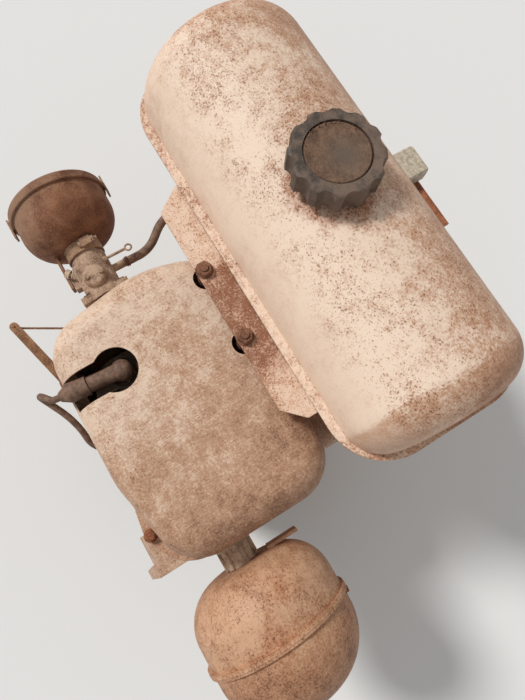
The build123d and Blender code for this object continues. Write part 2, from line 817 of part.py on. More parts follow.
def make_cleaner_stay():
    """Flat strap from the bell to the lug on the carburettor's side."""
    y = inlet_y - 29
    half = stay_width / 2
    return block(carb_neck_x - 1.5, bowl_x + 6.5, y - stay_thick, y, inlet_z - half, inlet_z + half)


def make_throttle_arm():
    """Flat arm under the carburettor with a slotted end for the rod."""
    length = hypot(arm_tip_x - throttle_x, arm_tip_y - inlet_y)
    turn = degrees(atan2(arm_tip_y - inlet_y, arm_tip_x - throttle_x))
    arm = Pos((length + arm_slot) / 2, 0) * SlotCenterToCenter(length + arm_slot, arm_width)
    arm += Circle(0.7 * arm_width)
    arm -= Pos(length + arm_slot / 2, 0) * SlotCenterToCenter(arm_slot, arm_slot_width)
    arm -= Circle(3.3)
    return Pos(throttle_x, inlet_y, 0) * Rot(0, 0, turn) * prism(arm, throttle_z, throttle_z + arm_thick)


def make_lever():
    length = hypot(eye_x - pivot_x, eye_y - pivot_y)
    turn = degrees(atan2(eye_y - pivot_y, eye_x - pivot_x))
    lever = prism(SlotCenterToCenter(length, lever_width), lever_z, lever_z + lever_thick)
    lever = Pos((eye_x + pivot_x) / 2, (eye_y + pivot_y) / 2, 0) * Rot(0, 0, turn) * lever
    lever += rod_z_bar(6.5, lever_z, lever_z + lever_thick, pivot_x, pivot_y)
    lever -= rod_z_bar(pin_hole_r, lever_z - 1, lever_z + 9, eye_x, eye_y)
    lever -= rod_z_bar(3.3, lever_z - 1, lever_z + 9, pivot_x, pivot_y)
    return lever


def make_lever_bracket():
    """Pressed lug on the casing with the lever's shouldered pivot."""
    plate = block(pivot_x - 9, pivot_x + 9, pivot_y - 9, casing_front, lever_z - 5, lever_z - 2)
    plate += block(pivot_x - 9, pivot_x + 9, casing_front - 3, casing_front, lever_z - 30, lever_z - 2)
    plate += rod_z_bar(6, lever_z - 2, lever_z - 0.4, pivot_x, pivot_y)
    plate += rod_z_bar(3, lever_z - 2, lever_z + lever_thick + 0.4, pivot_x, pivot_y)
    plate += rod_z_bar(6, lever_z + lever_thick + 0.4, lever_z + lever_thick + 5, pivot_x, pivot_y)
    return plate


def make_link_rod():
    length = hypot(arm_tip_x - eye_x, arm_tip_y - eye_y)
    turn = degrees(atan2(arm_tip_y - eye_y, arm_tip_x - eye_x))
    rod = Rot(0, 90, 0) * Cylinder(rod_r, length)
    rod = Pos((arm_tip_x + eye_x) / 2, (arm_tip_y + eye_y) / 2, rod_z) * Rot(0, 0, turn) * rod
    rod += rod_z_bar(rod_r, rod_z, lever_z + lever_thick + 2, eye_x, eye_y)
    rod += rod_z_bar(rod_r, throttle_z - 2, rod_z, arm_tip_x, arm_tip_y)
    return rod


def make_spark_plug():
    plug = hexagon_z(plug_hex_af, plug_seat, plug_seat + 5, plug_x, plug_y)
    plug += rod_z_bar(6, plug_seat - 5, plug_seat, plug_x, plug_y)
    plug += rod_z_bar(4.5, plug_seat + 5, plug_seat + 15, plug_x, plug_y)
    return plug


def make_plug_cap():
    body = rod_z_bar(boot_r, plug_seat + 5.5, boot_z, 0, 0)
    body += Pos(0, 0, boot_z) * Sphere(boot_r)
    neck_end = -boot_neck_length
    body += rod_y(boot_neck_r, neck_end, 0, 0, boot_z)
    body += rod_y(boot_sleeve_r, neck_end - boot_sleeve_length, neck_end, 0, boot_z)
    body += Pos(0, neck_end - boot_sleeve_length - boot_tail / 2, boot_z) * Rot(90, 0, 0) * Cone(
        boot_sleeve_r, lead_r + 1.5, boot_tail)
    body -= rod_z_bar(4.8, plug_seat - 5, plug_seat + 15.5, 0, 0)
    return Pos(plug_x, plug_y, 0) * Rot(0, 0, -boot_turn) * body


def lead_points():
    """From the boot out, sharply down and back along the shroud to the hole in the casing."""
    reach = boot_neck_length + boot_sleeve_length + boot_tail
    a = radians(boot_turn)
    start = (plug_x - reach * sin(a), plug_y - reach * cos(a), boot_z)
    exit = (start[0] - 8 * sin(a), start[1] - 8 * cos(a), boot_z)
    fold = [(-75, -123, 343.5), (-77, -126, 332.5), (-69, -122.5, 326), (-50, -113.5, 320)]
    fall = [(-33, -110, 308), (-18, -111, 294), (-10, -107, 283)]
    entry = [(lead_hole_x, casing_front - 6.5, lead_hole_z), (lead_hole_x, casing_front + 4, lead_hole_z)]
    return [start, exit, *fold, *fall, *entry]


def tube(points, r):
    """Round tube along straight runs joined by tangent arcs."""
    pts = [Vector(*p) for p in points]
    radii = []
    for a, b, c in zip(pts, pts[1:], pts[2:]):
        turn = radians((b - a).get_angle(c - b))
        radii.append(0.45 * min((b - a).length, (c - b).length) / tan(turn / 2))
    print("tube radii", [round(v, 1) for v in radii])
    path = FilletPolyline(*pts, radius=radii)
    start = Plane(origin=pts[0], z_dir=(pts[1] - pts[0]).normalized())
    return sweep(start * Circle(r), path=path)


def make_exhaust_pipe():
    pipe = rod_x(pipe_r, port_reach, union_x0 + union_length + 2, exhaust_y, exhaust_z)
    pipe += Pos(port_reach + 3, exhaust_y, exhaust_z) * Box(6, 52, 36)
    return pipe - rod_x(port_bore, port_reach - 1, union_x0 + union_length + 3, exhaust_y, exhaust_z)


def make_union_nut():
    """Castellated clamp ring between pipe and silencer."""
    nut = rod_x(union_r - 3, union_x0, union_x0 + union_length, exhaust_y, exhaust_z)
    nut += rod_x(union_r, union_x0, union_x0 + 5, exhaust_y, exhaust_z)
    for i in range(union_ribs):
        rib = Pos(union_x0 + union_length / 2 + 1, 0, union_r - 3) * Box(union_length - 4, 6, 6)
        nut += Pos(0, exhaust_y, exhaust_z) * Rot(360 / union_ribs * i, 0, 0) * rib
    nut -= rod_x(pipe_r + fit_gap, union_x0 - 1, union_x0 + union_length + 1, exhaust_y, exhaust_z)
    return nut


def pan_profile(inset, side):
    """Half section of one deep-drawn pan as (x, radius)."""
    r = silencer_r - inset
    depth = (inner_depth if side < 0 else outer_depth) - inset
    edge = (inner_edge if side < 0 else outer_edge) - inset
    x_end = seam_x + side * depth
    line = Line((seam_x, 0), (seam_x, r))
    line += Line((seam_x, r), (x_end - side * edge, r))
    line += TangentArc((x_end - side * edge, r), (x_end, r - edge), tangent=(side, 0))
    line += Line((x_end, r - edge), (x_end, 0))
    line += Line((x_end, 0), (seam_x, 0))
    return make_face(line)


def make_silencer_half(side):
    half = about_x(pan_profile(0, side), exhaust_y, exhaust_z)
    half -= about_x(pan_profile(sheet, side), exhaust_y, exhaust_z)
    ring = rod_x(silencer_r + silencer_lip, min(seam_x, seam_x + side * 3), max(seam_x, seam_x + side * 3),
                 exhaust_y, exhaust_z)
    half += ring - rod_x(silencer_r - 1, seam_x - 5, seam_x + 5, exhaust_y, exhaust_z)
    if side < 0:
        face = seam_x - inner_depth
        half -= rod_x(pipe_r + fit_gap, face - 2, face + 5, exhaust_y, exhaust_z)
        half += block(face - 3, face + 0.5, exhaust_y + 32, exhaust_y + 66, exhaust_z - 6, exhaust_z + 18)
        foot = block(face - 3, face + 14, exhaust_y + 30, exhaust_y + 36, exhaust_z - 6, exhaust_z + 18)
        half += foot - about_x(pan_profile(sheet, side), exhaust_y, exhaust_z)
    else:
        half -= rod_z_bar(outlet_r + fit_gap, outlet_bottom, exhaust_z - 30, outlet_x, exhaust_y)
    return half


def make_silencer_outlet():
    """Tail tube through the lowest place of the outer pan."""
    tube = rod_z_bar(outlet_r, outlet_bottom, outlet_top, outlet_x, exhaust_y)
    return tube - rod_z_bar(outlet_r - sheet, outlet_bottom - 1, outlet_top + 1, outlet_x, exhaust_y)


def make_fuel_tap():
    top = flange_bottom - tub_depth
    tap = rod_z_bar(9, top - 26, top, tap_x, tap_y)
    tap += hexagon_z(22, top - 8, top, tap_x, tap_y)
    tap += rod_y(3.5, tap_y - 26, tap_y, tap_x, tap_z)
    tap += rod_x(5, tap_x, tap_x + 18, tap_y, tap_z + 6)
    return tap


parts["crankcase"] = make_crankcase()
parts["pto_cover"] = make_pto_cover()
parts["crankshaft"] = make_crankshaft()
parts["cylinder"] = make_cylinder()
parts["cylinder_head"] = make_cylinder_head()
parts["cylinder_casing"] = make_casing()
parts["cylinder_shroud"] = make_shroud()
parts["tank_bracket"] = make_bracket()
parts["bracket_studs"] = make_studs()
parts["bracket_spacers"] = make_spacers()
parts["bracket_nuts"] = make_nuts()
parts["tank_upper_shell"] = make_tank_top()
parts["tank_lower_shell"] = make_tank_bottom()
parts["filler_neck"] = make_filler_neck()
parts["fuel_cap"] = make_fuel_cap()
parts["cap_insert"] = make_cap_insert()
parts["rear_support"] = make_rear_support()
parts["rear_clamp"] = make_rear_clamp()
parts["fan_housing"] = make_fan_housing()
parts["flywheel_fan"] = make_fan()
parts["starter_cover"] = make_starter_cover()
parts["starter_grip"] = make_starter_grip()
parts["oil_plugs"] = make_oil_plugs()
parts["intake_pipe"] = make_intake_pipe()
parts["carburettor"] = make_carburettor()
parts["float_bowl"] = make_float_bowl()
parts["throat_band"] = make_throat_band()
parts["cleaner_bell"] = make_cleaner_bell()
parts["cleaner_cover"] = make_cleaner_cover()
parts["cleaner_clips"] = make_cleaner_clips()
parts["cleaner_stay"] = make_cleaner_stay()
parts["throttle_arm"] = make_throttle_arm()
parts["control_lever"] = make_lever()
parts["lever_bracket"] = make_lever_bracket()
parts["link_rod"] = make_link_rod()
parts["spark_plug"] = make_spark_plug()
parts["plug_cap"] = make_plug_cap()
parts["ht_lead"] = tube(lead_points(), lead_r)
parts["exhaust_pipe"] = make_exhaust_pipe()
parts["union_nut"] = make_union_nut()
parts["silencer_inner"] = make_silencer_half(-1)
parts["silencer_outer"] = make_silencer_half(1)
parts["silencer_outlet"] = make_silencer_outlet()
parts["fuel_tap"] = make_fuel_tap()

hose_points = [(bowl_x + 4, inlet_y + 34, inlet_z), (bowl_x + 4, inlet_y + 66, inlet_z),
               (tap_x, tap_y - 60, tap_z), (tap_x, tap_y - 26, tap_z)]
parts["fuel_hose"] = tube(hose_points, hose_r)

os.makedirs("parts", exist_ok=True)
for name, shape in parts.items():
    export_step(shape, "parts/" + name + ".step")
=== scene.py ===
import random
from math import cos, pi, radians, sin
import bmesh
import bpy
from mathutils import Matrix, Quaternion, Vector


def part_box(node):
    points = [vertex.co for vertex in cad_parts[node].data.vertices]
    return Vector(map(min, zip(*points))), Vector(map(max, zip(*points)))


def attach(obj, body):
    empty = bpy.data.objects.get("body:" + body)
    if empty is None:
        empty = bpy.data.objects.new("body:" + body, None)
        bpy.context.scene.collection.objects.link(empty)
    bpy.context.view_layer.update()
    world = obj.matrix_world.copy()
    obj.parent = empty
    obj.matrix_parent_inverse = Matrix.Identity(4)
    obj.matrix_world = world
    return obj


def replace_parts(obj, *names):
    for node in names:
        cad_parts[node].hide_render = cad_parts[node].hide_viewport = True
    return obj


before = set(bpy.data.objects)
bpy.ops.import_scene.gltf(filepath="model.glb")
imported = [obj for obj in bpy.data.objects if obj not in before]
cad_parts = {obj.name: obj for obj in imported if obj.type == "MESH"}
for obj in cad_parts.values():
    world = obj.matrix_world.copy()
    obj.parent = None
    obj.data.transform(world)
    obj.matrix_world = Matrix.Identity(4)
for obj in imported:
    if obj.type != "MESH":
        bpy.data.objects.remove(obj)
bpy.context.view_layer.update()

# Camera at the photograph's place, nearly overhead and rolled to the left.
eye = Vector((0.0919, 0.0026, 0.8819))
aim = Vector((-0.0109, 0.1015, 0.300))
roll = Quaternion((0, 0, 1), radians(13.2))
camera_data = bpy.data.cameras.new("camera")
camera_data.sensor_fit = "HORIZONTAL"
camera_data.sensor_width = 36
camera_data.lens = 36.34
camera = bpy.data.objects.new("camera", camera_data)
bpy.context.collection.objects.link(camera)
camera.location = eye
camera.rotation_mode = "QUATERNION"
camera.rotation_quaternion = (aim - eye).to_track_quat("-Z", "Y") @ roll
bpy.context.scene.camera = camera

# Pale studio floor, soft sky and one key light from the air cleaner's side.
far = 4
floor_mesh = bpy.data.meshes.new("floor")
floor_mesh.from_pydata([(-far, -far, 0), (far, -far, 0), (far, far, 0), (-far, far, 0)], [], [(0, 1, 2, 3)])
floor = bpy.data.objects.new("floor", floor_mesh)
bpy.context.collection.objects.link(floor)
floor_paint = bpy.data.materials.new("floor_paint")
floor_paint.use_nodes = True
floor_shader = floor_paint.node_tree.nodes["Principled BSDF"]
floor_shader.inputs["Base Color"].default_value = (0.8, 0.79, 0.77, 1)
floor_shader.inputs["Roughness"].default_value = 0.9
floor_mesh.materials.append(floor_paint)
world = bpy.data.worlds.new("world")
world.use_nodes = True
sky = world.node_tree.nodes["Background"]
sky.inputs["Color"].default_value = (1, 1, 1, 1)
sky.inputs["Strength"].default_value = 0.42
bpy.context.scene.world = world
lamp_data = bpy.data.lights.new("key", "SUN")
lamp_data.energy = 2.3
lamp_data.angle = 0.22
lamp = bpy.data.objects.new("key", lamp_data)
bpy.context.collection.objects.link(lamp)
lamp.rotation_mode = "QUATERNION"
lamp.rotation_quaternion = Vector((0.58, 0.36, -0.73)).to_track_quat("-Z", "Y")
bpy.context.scene.view_settings.view_transform = "Standard"


# Crankcase, driven-side cover, cylinder head and fan. Sand-cast aluminium, dull grey and
# grimed with oil and dust. The cover is held by six hexagon screws on washers.
class Wire:
    """One value in a material; arithmetic on it adds Math nodes."""

    def __init__(self, tree, socket):
        self.tree = tree
        self.socket = socket

    def add(self, kind, settings=None, values=None, output=0):
        """A node of a type: its settings first, then the values or links of its sockets."""
        node = self.tree.nodes.new("ShaderNode" + kind)
        for name, value in (settings or {}).items():
            setattr(node, name, value)
        for name, value in (values or {}).items():
            if isinstance(value, Wire):
                self.tree.links.new(value.socket, node.inputs[name])
            else:
                node.inputs[name].default_value = value
        return Wire(self.tree, node.outputs[output])

    def maths(self, operation, first, second=0.0):
        return self.add("Math", {"operation": operation}, {0: first, 1: second})

    def __add__(self, other):
        return self.maths("ADD", self, other)

    def __sub__(self, other):
        return self.maths("SUBTRACT", self, other)

    def __rsub__(self, other):
        return self.maths("SUBTRACT", other, self)

    def __mul__(self, other):
        return self.maths("MULTIPLY", self, other)

    def __abs__(self):
        return self.maths("ABSOLUTE", self)

    __radd__ = __add__
    __rmul__ = __mul__

    def most(self, other):
        """The larger of the two."""
        return self.maths("MAXIMUM", self, other)

    def over(self, edge, soft):
        """0 below the edge, 1 above it, with a soft step between."""
        values = {"Value": self, "From Min": edge - soft, "From Max": edge + soft}
        return self.add("MapRange", {"interpolation_type": "SMOOTHSTEP"}, values)

    def noise(self, size, detail=3.0, rough=0.55):
        """Cloudy noise whose blotches are about this many metres across."""
        values = {"Vector": self, "Scale": 1 / size, "Detail": detail, "Roughness": rough}
        return self.add("TexNoise", {}, values)

    def axis(self, letter):
        """One coordinate of a place."""
        return self.add("SeparateXYZ", {}, {0: self}, "XYZ".index(letter))

    def stretched(self, x, y, z, turn=0.0):
        """A place scaled along each axis and turned about Z."""
        values = {"Vector": self, "Scale": (x, y, z), "Rotation": (0, 0, turn)}
        return self.add("Mapping", {}, values)

    def near(self, point, reach, soft):
        """1 inside a ball round the point, 0 outside it."""
        away = self.add("VectorMath", {"operation": "DISTANCE"}, {0: self, 1: point}, "Value")
        return 1 - away.over(reach, soft)

    def blend(self, low, high):
        """The low colour where this is 0 and the high one where it is 1."""
        low = low if isinstance(low, Wire) else (*low, 1)
        high = high if isinstance(high, Wire) else (*high, 1)
        return self.add("Mix", {"data_type": "RGBA"}, {0: self, 6: low, 7: high}, 2)


def seen(red, green, blue):
    """A colour as a screen shows it, 0 to 255, turned to the renderer's scale."""
    return tuple((v / 255) ** 2.2 for v in (red, green, blue))


def start(name):
    """A new material and the place on the object that its patterns follow."""
    material = bpy.data.materials.new(name)
    material.use_nodes = True
    tree = material.node_tree
    return material, Wire(tree, tree.nodes.new("ShaderNodeTexCoord").outputs["Object"])


def close(material, colour, rough, height, depth, metal=0.0):
    """Joins colour, roughness, metal and a height of some metres' depth to the shader."""
    tree = material.node_tree
    shader = tree.nodes["Principled BSDF"]
    bump = height.add("Bump", {}, {"Height": height, "Distance": depth, "Strength": 1.0})
    tree.links.new(bump.socket, shader.inputs["Normal"])
    tree.links.new(colour.socket, shader.inputs["Base Color"])
    for name, value in (("Roughness", rough), ("Metallic", metal)):
        if isinstance(value, Wire):
            tree.links.new(value.socket, shader.inputs[name])
        else:
            shader.inputs[name].default_value = value
    return material


def coat(material, *nodes):
    """Gives CAD pieces a material."""
    for name in nodes:
        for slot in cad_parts[name].material_slots:
            slot.material = material


def casting(name, metal_colour, grime_colour, grime_share):
    """Cast metal with a grainy skin and dull clouds of grime."""
    material, place = start(name)
    skin = place.noise(0.0012, 2.0)
    cloud = place.noise(0.035, 5.0, 0.62)
    grime = (cloud + 0.3 * skin).over(1.0 - grime_share, 0.12)
    shaded = tuple(0.8 * v for v in metal_colour)
    bare = skin.over(0.5, 0.3).blend(metal_colour, shaded)
    colour = grime.blend(bare, grime_colour)
    return close(material, colour, 0.55 + 0.35 * grime, skin + 0.5 * cloud, 0.0006, 0.3 * (1 - grime))


cast_alloy = casting("cast_alloy", seen(152, 142, 128), seen(92, 76, 62), grime_share=0.47)
coat(cast_alloy, "crankcase", "pto_cover", "cylinder_head", "flywheel_fan")


def finished(name, mesh, material, body):
    """Puts a finished mesh in the scene as a piece that rides on a body."""
    mesh.name = name
    mesh.materials.clear()
    mesh.materials.append(material)
    piece = bpy.data.objects.new(name, mesh)
    bpy.context.collection.objects.link(piece)
    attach(piece, body)
    return piece


def hexagon_head(across, height, washer):
    """A chamfered hexagon head on its washer, seat at zero, pointing up."""
    washer_top = 0.18 * height
    flats = 0.7 * height
    chamfer = height - flats - washer_top
    corner = across / 3 ** 0.5
    mesh = bpy.data.meshes.new("head")
    form = bmesh.new()
    for sides, low, high, depth, middle in (
            (28, washer, washer, washer_top, washer_top / 2),
            (6, corner, corner, flats, washer_top + flats / 2),
            (6, corner, 0.8 * corner, chamfer, height - chamfer / 2)):
        bmesh.ops.create_cone(form, cap_ends=True, segments=sides, radius1=low, radius2=high, depth=depth,
                              matrix=Matrix.Translation((0, 0, middle)))
    form.to_mesh(mesh)
    form.free()
    return mesh


def repeat(name, mesh, count, ring=0.0, step=(0, 0, 0)):
    """Geometry Nodes copies of a mesh, on a ring about Z or in a straight row."""
    source = bpy.data.objects.new(name + "_source", mesh)
    tree = bpy.data.node_groups.new(name, "GeometryNodeTree")
    tree.interface.new_socket("Geometry", in_out="OUTPUT", socket_type="NodeSocketGeometry")
    sizes = {}
    given_sizes = (("Count", "Int", count), ("Ring radius", "Float", ring), ("Step", "Vector", step))
    for title, kind, size in given_sizes:
        socket = tree.interface.new_socket(title, in_out="INPUT", socket_type="NodeSocket" + kind)
        sizes[socket.identifier] = size
    given = tree.nodes.new("NodeGroupInput")
    spots = tree.nodes.new("GeometryNodeMeshCircle" if ring else "GeometryNodeMeshLine")
    shape = tree.nodes.new("GeometryNodeObjectInfo")
    shape.inputs["Object"].default_value = source
    on = tree.nodes.new("GeometryNodeInstanceOnPoints")
    real = tree.nodes.new("GeometryNodeRealizeInstances")
    skin = tree.nodes.new("GeometryNodeSetMaterial")
    out = tree.nodes.new("NodeGroupOutput")
    join = tree.links.new
    if ring:
        join(given.outputs["Count"], spots.inputs["Vertices"])
        join(given.outputs["Ring radius"], spots.inputs["Radius"])
    else:
        join(given.outputs["Count"], spots.inputs["Count"])
        join(given.outputs["Step"], spots.inputs["Offset"])
    join(spots.outputs["Mesh"], on.inputs["Points"])
    join(shape.outputs["Geometry"], on.inputs["Instance"])
    join(on.outputs["Instances"], real.inputs["Geometry"])
    join(real.outputs["Geometry"], skin.inputs["Geometry"])
    join(skin.outputs["Geometry"], out.inputs[0])
    carrier = bpy.data.objects.new(name + "_carrier", bpy.data.meshes.new(name + "_carrier"))
    bpy.context.collection.objects.link(carrier)
    modifier = carrier.modifiers.new("repeat", "NODES")
    modifier.node_group = tree
    for identifier, size in sizes.items():
        modifier[identifier] = size
    graph = bpy.context.evaluated_depsgraph_get()
    result = bpy.data.meshes.new_from_object(carrier.evaluated_get(graph), depsgraph=graph)
    bpy.data.objects.remove(carrier)
    bpy.data.objects.remove(source)
    return result


def facing(mesh, point, direction):
    """Turns a mesh's up to a direction and sets it on a point."""
    turn = Vector((0, 0, 1)).rotation_difference(Vector(direction)).to_matrix().to_4x4()
    mesh.transform(Matrix.Translation(point) @ turn)
    return mesh


def rusted(name, dark, bright, share):
    """Bare metal under a rough scaly crust, bright on some share of it."""
    material, place = start(name)
    scale = place.noise(0.0016, 4.0, 0.7)
    patch = place.noise(0.014, 4.0, 0.6)
    lit = (0.55 * scale + 0.45 * patch).over(1 - share, 0.1)
    colour = lit.blend(dark, bright)
    return close(material, colour, 0.78 + 0.18 * scale, scale + 0.6 * patch, 0.0011)


dark_rust = rusted("dark_rust", seen(84, 52, 38), seen(138, 84, 56), share=0.5)
cover_low, cover_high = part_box("pto_cover")
cover_spot = 0.006
cover_seat = (0, cover_low[1] + cover_spot, (cover_low[2] + cover_high[2]) / 2)
cover_head = hexagon_head(across=0.008, height=0.0055, washer=0.0058)
cover_screws = facing(repeat("cover_screws", cover_head, 6, ring=0.0535), cover_seat, (0, -1, 0))
finished("cover_screws", cover_screws, dark_rust, "engine")

# Driven shaft and key. Turned steel, bright where a pulley has sat and brown elsewhere.
# The key lies in its keyway, which stands turned from the top as the crank does.
shaft_z = 0.13
crank_turn = radians(36)
key_size = (0.0069, 0.0278, 0.0069)
key_edge = 0.0005
key_middle = (0, -0.118, 0.0120)
turned_steel, place = start("turned_steel")
streak = place.stretched(1, 0.05, 1).noise(0.0012, 2.0)
stain = place.noise(0.006, 5.0, 0.7).over(0.56, 0.06)
colour = stain.blend(seen(150, 145, 138), seen(96, 66, 48))
close(turned_steel, colour, 0.3 + 0.5 * stain, streak + stain, 0.0002, 0.9 - 0.8 * stain)
coat(turned_steel, "crankshaft", "spark_plug")
shaft_key = bpy.data.meshes.new("shaft_key")
form = bmesh.new()
bmesh.ops.create_cube(form, size=1.0, matrix=Matrix.Diagonal((*key_size, 1)))
bmesh.ops.bevel(form, geom=list(form.edges), offset=key_edge, segments=2, affect="EDGES")
form.to_mesh(shaft_key)
form.free()
shaft_key.transform(Matrix.Translation(key_middle))
shaft_key.transform(Matrix.Translation((0, 0, shaft_z)) @ Matrix.Rotation(crank_turn, 4, "Y"))
finished("shaft_key", shaft_key, turned_steel, "engine")

# Cylinder barrel. Grey cast iron with cooling fins, browned by heat and dust. It stands on
# the crankcase and carries the head.
cast_iron = casting("cast_iron", seen(82, 74, 66), seen(62, 42, 30), grime_share=0.55)
coat(cast_iron, "cylinder")


# Casing, shroud, fan housing and starter cover. Pressed steel in cream enamel, dulled by
# brown dust that lies thicker towards the exhaust, where painted shade darkens the shroud too,
# with a few shallow dents. The sheets are held by hexagon screws, and the shroud's corner by one larger
# bolt.
def enamel(name, paint, tan, brown, film, rust=None, specks=0.0, weave=0.0, dents=0.0, clean=None):
    """Worn enamel: a film of dust turns it tan and then brown, and rust and pits break it.

    film and rust are given the place and a cloud, and return how thick each lies; some films also
    carry painted shade, and one a painted highlight. clean is two heights, and between them the paint is
    smooth.
    """
    material, place = start(name)
    cloud = place.noise(0.05, 5.0, 0.6)
    blotch = place.noise(0.013, 6.0, 0.66)
    grain = place.noise(0.0026, 4.0, 0.7)
    fine = place.noise(0.0016, 1.0)
    settled = 1.0
    if clean:
        low, high = clean
        settled = place.axis("Z").over(high, 0.013).most(1 - place.axis("Z").over(low, 0.001))
    mottle = 1.5 * (blotch - 0.5) + 1.6 * (grain - 0.5) + 0.7 * (fine - 0.5)
    thick = film(place, cloud) + mottle * (0.35 + 0.65 * settled)
    colour = thick.over(0.34, 0.42).blend(paint, tan)
    colour = thick.over(0.95, 0.34).blend(colour, brown)
    scale = 0.0
    if rust:
        eaten = rust(place, cloud) + (blotch - 0.5) + 1.1 * (grain - 0.5)
        colour = (0.6 * eaten.over(0.62, 0.36)).blend(colour, seen(168, 104, 68))
        scale = (eaten + 0.9 * (fine - 0.5)).over(1.0, 0.2)
        colour = (0.7 * scale).blend(colour, seen(124, 70, 44))
    pits = fine + 0.3 * (grain - 0.5) + 0.3 * (blotch - 0.5) + 0.35 * (cloud - 0.5) + specks
    pits = pits.over(0.7, 0.05) * settled
    colour = (0.62 * pits).blend(colour, seen(112, 74, 52))
    height = 0.5 * grain - 0.3 * pits + 0.5 * scale
    if weave:
        height = height + weave * place.stretched(1, 0.14, 1, turn=0.95).noise(0.0017, 2.0)
    if dents:
        height = height + dents * place.noise(0.042, 1.0)
    return close(material, colour, 0.6 + 0.3 * scale, height, 0.0006)


def shroud_film_and_shade(place, cloud):
    """Thin on the shoulder by the carburettor, thicker and browner past the middle: a film of dust, with
    painted shade on the side away from the light.
    """
    across = place.axis("X") + 0.1 * place.axis("Y")
    middle = place.near((-0.03, 0.03, 0.36), 0.045, 0.05)
    # Painted shade: the film thickens towards the exhaust side, which faces away from the light.
    film = 0.2 + 0.42 * across.over(0.01, 0.045) + 0.34 * across.over(0.10, 0.06)
    return film + 0.3 * middle + 0.9 * (cloud - 0.5)


def casing_film(place, cloud):
    """Much the same all over, in large clouds."""
    return 0.45 + 1.2 * (cloud - 0.5)


def casing_rust(place, cloud):
    """Orange rust at one corner of the plate that the shroud is bolted to."""
    return 0.8 * place.near((0.082, -0.103, 0.303), 0.013, 0.008) + 0.5 * (cloud - 0.5)


shroud_enamel = enamel("shroud_enamel", seen(226, 198, 173), seen(182, 140, 111), seen(140, 101, 77),
                       shroud_film_and_shade, specks=-0.03, weave=0.9, dents=3.2)
casing_enamel = enamel("casing_enamel", seen(206, 174, 148), seen(164, 124, 97), seen(116, 82, 62),
                       casing_film, casing_rust, specks=0.02)
coat(shroud_enamel, "cylinder_shroud")
coat(casing_enamel, "cylinder_casing", "fan_housing", "starter_cover")
orange_rust = rusted("orange_rust", seen(112, 66, 46), seen(172, 108, 74), share=0.52)
tab_seat = (0.0994, -0.0985, 0.306)
tab_bolt = facing(hexagon_head(across=0.010, height=0.0065, washer=0.0072), tab_seat, (0, 0, 1))
finished("tab_bolt", tab_bolt, orange_rust, "engine")
starter_rim = 0.0025
starter_seat = (0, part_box("fan_housing")[1][1] + starter_rim, shaft_z)
starter_head = hexagon_head(across=0.008, height=0.0055, washer=0.0058)
starter_screws = facing(repeat("starter_screws", starter_head, 4, ring=0.098), starter_seat, (0, 1, 0))
finished("starter_screws", starter_screws, dark_rust, "engine")
shroud_lip = 0.009
casing_seat = (-0.076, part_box("cylinder_shroud")[0][1] + shroud_lip, 0.225)
casing_head = hexagon_head(across=0.007, height=0.0045, washer=0.0052)
casing_screws = repeat("casing_screws", casing_head, 3, step=(0.062, 0, 0))
casing_screws.transform(Matrix.Rotation(radians(90), 4, "X"))
casing_screws.transform(Matrix.Translation(casing_seat))
finished("casing_screws", casing_screws, dark_rust, "engine")


# Tank bracket, its studs, spacers and nuts. Flat steel strip, cream once; scaly rust has
# come through the paint between the two nuts and past them.
def strip_film(place, cloud):
    """Thin, in clouds."""
    return 0.22 + 0.8 * (cloud - 0.5)


def strip_rust(place, cloud):
    """Heavy scale between and beside the nuts, little at both ends."""
    ends = abs(place.axis("X") + 0.034).over(0.066, 0.028)
    return 1.12 - ends + 0.5 * (cloud - 0.5)


strip_enamel = enamel("strip_enamel", seen(234, 204, 180), seen(208, 160, 126), seen(160, 108, 76),
                      strip_film, strip_rust, specks=0.03)
nut_rust = rusted("nut_rust", seen(98, 64, 48), seen(150, 104, 78), share=0.5)
coat(strip_enamel, "tank_bracket")
coat(nut_rust, "bracket_studs")
coat(dark_rust, "bracket_spacers")


def hexagon_nut(across, height, bore, washer):
    """A nut chamfered at the top, on a washer, with its bore left open."""
    sides = 48
    washer_top = 0.0012
    flats_foot = 0.0013
    flats_top = height - 0.0011
    levels = ((0.0, washer), (washer_top, washer), (flats_foot, None), (flats_top, None),
              (height, 0.47 * across), (height, bore), (0.0, bore))
    mesh = bpy.data.meshes.new("nut")
    form = bmesh.new()
    rows = []
    for z, radius in levels:
        row = []
        for i in range(sides):
            a = 2 * pi * i / sides
            off_flat = (a + pi / 6) % (pi / 3) - pi / 6
            reach = radius or across / 2 / cos(off_flat)
            row.append(form.verts.new((reach * cos(a), reach * sin(a), z)))
        rows.append(row)
    for low, high in zip(rows, rows[1:] + rows[:1]):
        for i in range(sides):
            k = (i + 1) % sides
            form.faces.new((low[i], low[k], high[k], high[i]))
    bmesh.ops.recalc_face_normals(form, faces=form.faces)
    form.to_mesh(mesh)
    form.free()
    return mesh


nut_low, nut_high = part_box("bracket_nuts")
nut_gap = 0.080
nut_x = (nut_low[0] + nut_high[0] - nut_gap) / 2
nut_y = (nut_low[1] + nut_high[1]) / 2
nut_shape = hexagon_nut(across=0.0145, height=0.0072, bore=0.0043, washer=0.0092)
strip_nuts = repeat("strip_nuts", nut_shape, 2, step=(nut_gap, 0, 0))
strip_nuts.transform(Matrix.Translation((nut_x, nut_y, nut_low[2])))
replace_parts(finished("strip_nuts", strip_nuts, nut_rust, "engine"), "bracket_nuts")


# Fuel tank. Two deep-drawn halves seam-welded at a flange, cream enamel with a pale smooth
# shoulder, brown film and painted shade on the far side and the end, freckles, stains and rust by the cap.
cap_x = -0.088
cap_y = 0.208


